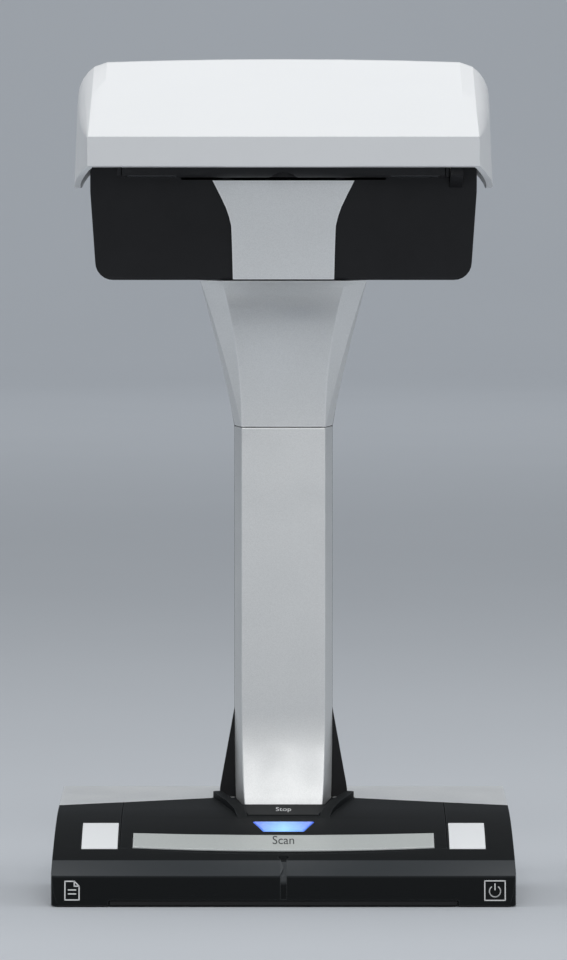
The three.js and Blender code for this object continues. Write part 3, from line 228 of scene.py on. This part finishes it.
def deck_material():
    """Black plastic of the base: grained, with a glossier band along the chamfer above the front face,
    lightened as painted sheen.
    """
    s = Shader("deck_black_plastic", 0.42)
    depth = s.axes()["Y"]
    behind_face = s.ranged(depth, 0.0, 1.0, BAND_FRONT - BAND_FADE, BAND_FRONT + BAND_FADE)
    before_deck = s.ranged(depth, 1.0, 0.0, BAND_REAR - BAND_FADE, BAND_REAR + BAND_FADE)
    band = s.multiplied(behind_face, before_deck)
    flow = s.flow()
    grained = s.mix(flow, (0.0050, 0.0062, 0.0070), (0.0056, 0.0068, 0.0076))
    grained = s.mix(s.specks(0.05), grained, (0.03, 0.03, 0.03))
    # The band's lighter colour is a painted sheen; the band's roughness and specular are set further down.
    painted_sheen = s.mix(flow, (0.022, 0.027, 0.031), (0.025, 0.030, 0.034))
    body = s.mix(band, grained, painted_sheen)
    body = s.mix(s.ranged(s.edges(), 0.0, 0.35), body, (0.09, 0.095, 0.10))
    s.set_roughness(s.ranged(band, 0.62, 0.36))
    s.link(s.ranged(band, 0.12, 0.45), s.bsdf.inputs["Specular IOR Level"])
    s.add_bump(s.noise(1100, detail=2.0), 0.012 * MM)
    return s.finish(body)


def painted_silver(name, colour, roughness, metallic=0.35, flake=0.05, painted_edge_highlight=(0.86, 0.87, 0.88), edge_tint=0.5):
    """Silver paint on plastic: metal flakes, faint orange peel, and edges lightened as a painted highlight.
    """
    s = Shader(name, roughness, metallic=metallic, coat=0.12)
    drift = s.noise(14, detail=2.0)
    body = s.mix(drift, tinted(colour, 0.975), tinted(colour, 1.025))
    flakes = s.ranged(s.cells(3600), 0.0, 1.0)
    body = s.mix(flakes, s.scaled_colour(body, 1 - flake), s.scaled_colour(body, 1 + flake))
    # Painted highlight: sharp edges are mixed towards the given light grey.
    body = s.mix(s.ranged(s.edges(1.3 * MM, 0.985, 0.93), 0.0, edge_tint), body, painted_edge_highlight)
    s.set_roughness(s.ranged(s.noise(60, detail=4.0), roughness - 0.05, roughness + 0.06, 0.3, 0.7))
    s.add_bump(s.noise(700, detail=1.0), 0.008 * MM)
    s.add_bump(s.cells(3600), 0.0025 * MM)
    return s.finish(body)


def metal(name, colour, roughness, stretch=(1, 12, 12)):
    """Rolled or plated sheet: grain drawn out by the stretch along each axis, and cloudy oxide."""
    s = Shader(name, roughness, metallic=1.0)
    drawn = s.noise(900, detail=3.0, stretch=[1 / length for length in stretch])
    cloud = s.noise(60, detail=4.0)
    body = s.mix(cloud, tinted(colour, 0.86), tinted(colour, 1.05))
    body = s.mix(s.ranged(drawn, 0.0, 0.25), body, tinted(colour, 0.7))
    s.set_roughness(s.ranged(drawn, roughness - 0.08, roughness + 0.12))
    s.add_bump(drawn, 0.006 * MM)
    return s.finish(body)


def rubber_material():
    s = Shader("rubber_grip", 0.85, specular=0.25)
    dust = s.ranged(s.noise(320, detail=4.0), 0.0, 0.3, 0.5, 0.8)
    body = s.mix(dust, (0.018, 0.018, 0.018), (0.075, 0.073, 0.07))
    s.add_bump(s.noise(1500, detail=2.0), 0.03 * MM)
    return s.finish(body)


def board_material():
    """Solder resist over copper tracks, with pads showing through."""
    s = Shader("board_resist", 0.35, coat=0.3)
    tracks = s.node("ShaderNodeTexBrick")
    tracks.inputs["Scale"].default_value = 1.0
    tracks.inputs["Mortar Size"].default_value = 0.06
    tracks.inputs["Color1"].default_value = (0.012, 0.10, 0.045, 1)
    tracks.inputs["Color2"].default_value = (0.016, 0.13, 0.055, 1)
    tracks.inputs["Mortar"].default_value = (0.03, 0.22, 0.10, 1)
    s.link(s.scaled_place(260), tracks.inputs["Vector"])
    pads = s.ranged(s.cells(420), 0.0, 1.0, 0.93, 0.95)
    body = s.mix(pads, tracks.outputs["Color"], (0.62, 0.6, 0.5))
    s.add_bump(tracks.outputs["Fac"], 0.03 * MM)
    return s.finish(body)


def light_material():
    """Lit light-guide: brightest low in the middle, deeper blue towards the ends."""
    s = Shader("status_light_guide", 0.2, coat=0.4)
    low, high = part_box("status_light")
    axes = s.axes()
    sideways = s.node("ShaderNodeMath", operation="ABSOLUTE")
    s.link(axes["X"], sideways.inputs[0])
    across = s.ranged(sideways.outputs["Value"], 0.0, 1.0, 0.0, high[0])
    glow = s.mix(across, (0.11, 0.31, 0.92), (0.04, 0.11, 0.74))
    middle = s.ranged(across, 0.8, 0.0, 0.0, 0.8)
    front = s.ranged(axes["Y"], 1.0, 0.1, low[1], high[1])
    glow = s.mix(s.multiplied(middle, front), glow, (0.24, 0.62, 1.0))
    glow = s.mix(s.ranged(s.noise(500), 0.0, 0.12), glow, (0.6, 0.8, 1.0))
    s.link(glow, s.bsdf.inputs["Emission Color"])
    s.bsdf.inputs["Emission Strength"].default_value = 0.6
    return s.finish(glow)


def glass_material():
    s = Shader("lens_coated_glass", 0.04, coat=1.0)
    s.bsdf.inputs["IOR"].default_value = 1.6
    # Painted reflection: the colour turns purple towards grazing view, as the lens coating would reflect.
    coating_reflection = s.node("ShaderNodeLayerWeight")
    coating_reflection.inputs["Blend"].default_value = 0.35
    body = s.mix(coating_reflection.outputs["Facing"], (0.01, 0.02, 0.05), (0.14, 0.05, 0.22))
    body = s.mix(s.ranged(s.noise(900), 0.0, 0.05), body, (0.5, 0.5, 0.5))
    return s.finish(body)


def ink(name, colour):
    """Pad-printed ink: slightly uneven, a little raised."""
    s = Shader(name, 0.55)
    body = s.mix(s.noise(1200, detail=3.0), tinted(colour, 0.85), tinted(colour, 1.05))
    s.add_bump(s.noise(2600), 0.01 * MM)
    return s.finish(body)


def floor_material():
    s = Shader("studio_floor", 0.62, specular=0.3)
    body = s.mix(s.noise(3, detail=2.0), (0.56, 0.583, 0.615), (0.58, 0.603, 0.635))
    return s.finish(body)


MATERIALS = {
    "base_black": deck_material(),
    "shell_black": moulded("shell_black_plastic", (0.0085, 0.0085, 0.0098), 0.55, grain=1000, specular=0.3,
                           edge_tint_colour=(0.05, 0.05, 0.055)),
    # The hood's strong edge tint towards white is a painted highlight along its creases.
    "shell_white": moulded("hood_white_plastic", (0.845, 0.85, 0.855), 0.38, mottle=0.012, grain=800,
                           edge_tint=0.7, edge_tint_colour=(0.98, 0.98, 0.98), coat=0.1),
    # Both silver finishes lighten their edges as a painted highlight, the column's most strongly.
    "shell_silver": painted_silver("column_silver_paint", (0.82, 0.825, 0.82), 0.45, metallic=0.75,
                                   painted_edge_highlight=(0.97, 0.97, 0.97), edge_tint=0.9),
    "button_silver": painted_silver("scan_key_silver_paint", (0.56, 0.585, 0.565), 0.40, metallic=0.2,
                                    flake=0.04),
    "steel": metal("rolled_steel", (0.50, 0.51, 0.52), 0.38),
    "zinc": metal("zinc_plate", (0.62, 0.63, 0.64), 0.34, stretch=(4, 1, 4)),
    "rubber": rubber_material(),
    "circuit_board": board_material(),
    "white_tile": moulded("reference_tile_white", (0.92, 0.93, 0.935), 0.6, mottle=0.02, grain=2200,
                          grain_depth=0.02, edge_tint=0.2, edge_tint_colour=(0.7, 0.7, 0.71)),
    "light_lens": light_material(),
    "lamp_lens": moulded("lamp_lens_smoked", (0.035, 0.037, 0.04), 0.2, mottle=0.05, grain=400, coat=0.5),
    "lens_glass": glass_material(),
    "gear_plastic": moulded("gear_acetal", (0.70, 0.67, 0.58), 0.45, mottle=0.04, grain=700),
    "brass": metal("turned_brass", (0.70, 0.52, 0.24), 0.3, stretch=(12, 1, 1)),
    "flex_cable": moulded("flex_cable_film", (0.55, 0.50, 0.38), 0.5, mottle=0.05, grain=500),
}

# ---------------------------------------------------------------- refined CAD pieces

WELD_REACH = 0.002 * MM
FLAT_WITHIN_DEGREES = 0.4
SHARP_FROM_DEGREES = 26
BEVEL_SEGMENTS = 2
NORMAL_WEIGHT = 60


def smooth_normals(mesh):
    for polygon in mesh.polygons:
        polygon.use_smooth = True
    stale = mesh.attributes.get("custom_normal")
    if stale is not None:
        mesh.attributes.remove(stale)


def refine(node, rounding, sharp):
    """A copy of a CAD node with merged faces, rounded edges and clean normals, standing for the node."""
    mesh = NODES[node].data.copy()
    smooth_normals(mesh)
    piece = placed(f"{node}_body", mesh)
    weld = piece.modifiers.new("weld", "WELD")
    weld.merge_threshold = WELD_REACH
    planar = piece.modifiers.new("planar", "DECIMATE")
    planar.decimate_type = "DISSOLVE"
    planar.angle_limit = math.radians(FLAT_WITHIN_DEGREES)
    if rounding:
        bevel = piece.modifiers.new("rounding", "BEVEL")
        bevel.width = rounding * MM
        bevel.segments = BEVEL_SEGMENTS
        bevel.limit_method = "ANGLE"
        bevel.angle_limit = math.radians(sharp)
        bevel.use_clamp_overlap = True
        bevel.harden_normals = False
    weighted = piece.modifiers.new("normals", "WEIGHTED_NORMAL")
    weighted.keep_sharp = True
    weighted.weight = NORMAL_WEIGHT
    piece.data.materials.clear()
    piece.data.materials.append(MATERIALS[SLOT_OF[node]])
    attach(piece, BODY_OF[node])
    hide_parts(node)


# Edge radii in millimetres. Every other node takes the default.
DEFAULT_ROUNDING = 0.2
ROUNDING = {
    "hood": 0.5,
    "base_front_cover": 0.35,
    "base_rear_cover": 0.35,
    "column_front_cover": 0.5,
    "neck_front_cover": 0.4,
    "column_rear_cover": 0.4,
    "head_lower_cover": 0.4,
    "chin_trim": 0.3,
    "reduction_gear": 0.0,
    "motor_pinion": 0.0,
}

# The hood's brow and lip turn by less than the usual sharp angle.
SHARP_FROM = {"hood": 15}

for node_name in NODES:
    refine(
        node_name,
        rounding=ROUNDING.get(node_name, DEFAULT_ROUNDING),
        sharp=SHARP_FROM.get(node_name, SHARP_FROM_DEGREES),
    )

# ---------------------------------------------------------------- printed marks

INK_THICKNESS = 0.02 * MM
KEY_INK_LIFT = 0.03 * MM
FACE_INK_LIFT = 0.02 * MM
ARC_STEPS = 24


def text_mark(name, words, size, stretch, centre, tilt, material, body):
    """A generic word printed on a key as a thin raised mesh, its letters drawn out front to back."""
    curve = bpy.data.curves.new(name, "FONT")
    curve.body = words
    curve.size = size
    curve.align_x = "CENTER"
    curve.align_y = "CENTER"
    curve.extrude = 0.01 * MM
    curve.resolution_u = 4
    words_object = placed(name, curve)
    depsgraph = bpy.context.evaluated_depsgraph_get()
    mesh = bpy.data.meshes.new_from_object(words_object.evaluated_get(depsgraph))
    bpy.data.objects.remove(words_object)
    for vertex in mesh.vertices:
        vertex.co.y *= stretch
    piece = placed(name, mesh)
    piece.location = centre
    piece.rotation_euler = (tilt, 0, 0)
    piece.data.materials.clear()
    piece.data.materials.append(material)
    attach(piece, body)


def stroke_corners(start, end, width):
    """Corners of a straight stroke between two [x, z] points, with square ends past both points."""
    (x0, z0), (x1, z1) = start, end
    length = math.hypot(x1 - x0, z1 - z0)
    along_x = (x1 - x0) / length * width / 2
    along_z = (z1 - z0) / length * width / 2
    side_x, side_z = -along_z, along_x
    return [
        (x0 - along_x + side_x, 0, z0 - along_z + side_z),
        (x0 - along_x - side_x, 0, z0 - along_z - side_z),
        (x1 + along_x - side_x, 0, z1 + along_z - side_z),
        (x1 + along_x + side_x, 0, z1 + along_z + side_z),
    ]


def outline_mark(name, lines, width, centre, tilt, material, body):
    """Flat strokes along [x, z] polylines in millimetres, printed on the front face."""
    vertices, faces = [], []
    for line in lines:
        for start, end in zip(line, line[1:]):
            first = len(vertices)
            vertices += stroke_corners(start, end, width)
            faces.append(tuple(range(first, first + 4)))
    mesh = bpy.data.meshes.new(name)
    mesh.from_pydata([[value * MM for value in vertex] for vertex in vertices], [], faces)
    piece = placed(name, mesh)
    thick = piece.modifiers.new("ink", "SOLIDIFY")
    thick.thickness = INK_THICKNESS
    thick.offset = 0
    piece.location = centre
    piece.rotation_euler = (tilt, 0, 0)
    piece.data.materials.append(material)
    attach(piece, body)


def arc_points(radius, centre, start, end):
    """Points along an arc between two angles in degrees."""
    angles = [math.radians(start + (end - start) * i / ARC_STEPS) for i in range(ARC_STEPS + 1)]
    return [(centre[0] + radius * math.cos(a), centre[1] + radius * math.sin(a)) for a in angles]


DARK_INK = ink("dark_grey_ink", (0.025, 0.028, 0.028))
LIGHT_INK = ink("white_ink", (0.80, 0.80, 0.80))


def key_top(node):
    """Middle of a key's top face, the face's tilt and its normal."""
    low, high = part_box(node)
    joints = frame["record"]["behaviour"]["joints"]
    press = next(joint for joint in joints if joint["child"] == node)["axis"]
    normal = -Vector(press)
    to_world = NODES[node].matrix_world
    height = max(normal.dot(to_world @ vertex.co) for vertex in NODES[node].data.vertices)
    middle_y = (low.y + high.y) / 2
    top_z = (height - normal.y * middle_y) / normal.z
    return Vector((0, middle_y, top_z)), math.atan2(-normal.y, normal.z), normal


# Each key's word: label name, word, letter size in millimetres, drawing-out, ink and key.
KEY_WORDS = [
    ("scan_label", "Scan", 5.7, 2.1, DARK_INK, "scan_button"),
    ("stop_label", "Stop", 4.0, 3.4, LIGHT_INK, "stop_button"),
]
for label, word, letter_size, drawn_out, key_ink, key in KEY_WORDS:
    top, key_tilt, outward = key_top(key)
    spot = top + outward * KEY_INK_LIFT
    text_mark(label, word, letter_size * MM, drawn_out, spot, key_tilt, key_ink, key)

# ---------------------------------------------------------------- front-face icons

# The front face leans back by the setback over its height.
FACE_TOP = 14 * MM
FACE_SETBACK = 2.5 * MM
ICON_HEIGHT = 7.4 * MM
ICON_INSET = 9.6 * MM

cover_low, cover_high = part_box("base_front_cover")
face_height = FACE_TOP - cover_low.z
face_tilt = -math.atan2(FACE_SETBACK, face_height)
icon_setback = FACE_SETBACK * (ICON_HEIGHT - cover_low.z) / face_height
icon_y = cover_low.y + icon_setback - FACE_INK_LIFT
page_place = (cover_low.x + ICON_INSET, icon_y, ICON_HEIGHT)
power_place = (cover_high.x - ICON_INSET, icon_y, ICON_HEIGHT)

# Lines of the icons as [x, z] points in millimetres about the icon's middle.
PAGE_ICON = [
    [(-3.2, -4.2), (3.2, -4.2), (3.2, 2.0), (1.0, 4.2), (-3.2, 4.2), (-3.2, -4.2)],
    [(1.0, 4.2), (1.0, 2.0), (3.2, 2.0)],
    [(-1.6, 0.3), (1.6, 0.3)],
    [(-1.6, -1.5), (1.6, -1.5)],
]
POWER_ICON = [
    [(-4.6, -4.4), (4.6, -4.4), (4.6, 4.4), (-4.6, 4.4), (-4.6, -4.4)],
    arc_points(2.5, (0, -0.3), 130, 410),
    [(0, 0.4), (0, 3.0)],
]
outline_mark("page_icon", PAGE_ICON, 0.55, page_place, face_tilt, LIGHT_INK, "root")
outline_mark("power_icon", POWER_ICON, 0.5, power_place, face_tilt, LIGHT_INK, "root")

# ---------------------------------------------------------------- studio

FLOOR_REACH = 9.0
BACKDROP_AT = 7.5
BACKDROP_HEIGHT = 5.0
CURVE_RADIUS = 1.5
CURVE_STEPS = 16


def sweep_profile():
    """Floor running back into a tall backdrop through a wide curve, as [y, z] points."""
    curve_start = BACKDROP_AT - CURVE_RADIUS
    points = [(-FLOOR_REACH, 0.0), (curve_start, 0.0)]
    for i in range(1, CURVE_STEPS + 1):
        angle = math.radians(90 * i / CURVE_STEPS)
        rise = CURVE_RADIUS - CURVE_RADIUS * math.cos(angle)
        points.append((curve_start + CURVE_RADIUS * math.sin(angle), rise))
    points.append((BACKDROP_AT, BACKDROP_HEIGHT))
    return points


def build_floor():
    profile = sweep_profile()
    vertices = [(x, y, z) for y, z in profile for x in (-FLOOR_REACH, FLOOR_REACH)]
    faces = [(2 * i, 2 * i + 1, 2 * i + 3, 2 * i + 2) for i in range(len(profile) - 1)]
    mesh = bpy.data.meshes.new("studio_floor")
    mesh.from_pydata(vertices, [], faces)
    for polygon in mesh.polygons:
        polygon.use_smooth = True
    floor = placed("studio_floor", mesh)
    floor.data.materials.append(floor_material())


def area_light(name, location, target, size, power, colour):
    """A rectangular lamp at a place, aimed at a target, with its power in watts."""
    data = bpy.data.lights.new(name, "AREA")
    data.shape = "RECTANGLE"
    data.size, data.size_y = size
    data.energy = power
    data.color = colour
    light = placed(name, data)
    light.location = location
    light.rotation_euler = (Vector(target) - Vector(location)).to_track_quat("-Z", "Y").to_euler()


AIR_COLOUR = (0.60, 0.64, 0.68, 1)
AIR_STRENGTH = 0.38


def build_world():
    world = bpy.data.worlds.new("studio_air")
    world.use_nodes = True
    background = world.node_tree.nodes["Background"]
    background.inputs["Color"].default_value = AIR_COLOUR
    background.inputs["Strength"].default_value = AIR_STRENGTH
    bpy.context.scene.world = world


CAMERA_PLACE = (0, -2.978, 0.350)
CAMERA_DOWN_DEGREES = 3.10
LENS_LENGTH = 242.4
SENSOR_WIDTH = 36.0
SEEN_TO = 50


def build_camera():
    """Long lens, far back, level with the head and pitched slightly down."""
    data = bpy.data.cameras.new("camera")
    data.sensor_width = SENSOR_WIDTH
    data.lens = LENS_LENGTH
    data.clip_end = SEEN_TO
    camera = placed("camera", data)
    camera.location = CAMERA_PLACE
    camera.rotation_euler = (math.radians(90 - CAMERA_DOWN_DEGREES), 0, 0)
    bpy.context.scene.camera = camera


OBJECT_MIDDLE = (0, 0, 0.2)
OBJECT_FOOT = (0, 0.05, 0.1)
BACKDROP_FOOT = (0, 6.2, 0.2)
NEUTRAL = (1, 1, 1)
COOL = (0.95, 0.98, 1.0)
WASH = (0.96, 0.98, 1.0)

# Each light: name, place, target, size, power and colour.
LIGHTS = [
    ("overhead_softbox", (0.0, 0.1, 2.0), OBJECT_FOOT, (2.2, 1.1), 17, NEUTRAL),
    ("front_top", (0.0, -1.5, 2.1), OBJECT_MIDDLE, (1.4, 0.6), 9, NEUTRAL),
    ("front_fill", (0.4, -2.6, 1.3), OBJECT_MIDDLE, (1.6, 1.0), 13, NEUTRAL),
    ("left_strip", (-1.9, -0.3, 1.3), OBJECT_MIDDLE, (0.8, 1.1), 6, COOL),
    ("right_strip", (1.9, -0.3, 1.3), OBJECT_MIDDLE, (0.8, 1.1), 6, COOL),
    ("backdrop_wash", (0.0, 4.4, 3.6), BACKDROP_FOOT, (4.0, 1.2), 62, WASH),
]

build_floor()
build_world()
build_camera()
for light_row in LIGHTS:
    area_light(*light_row)
bpy.context.scene.view_settings.view_transform = "Standard"
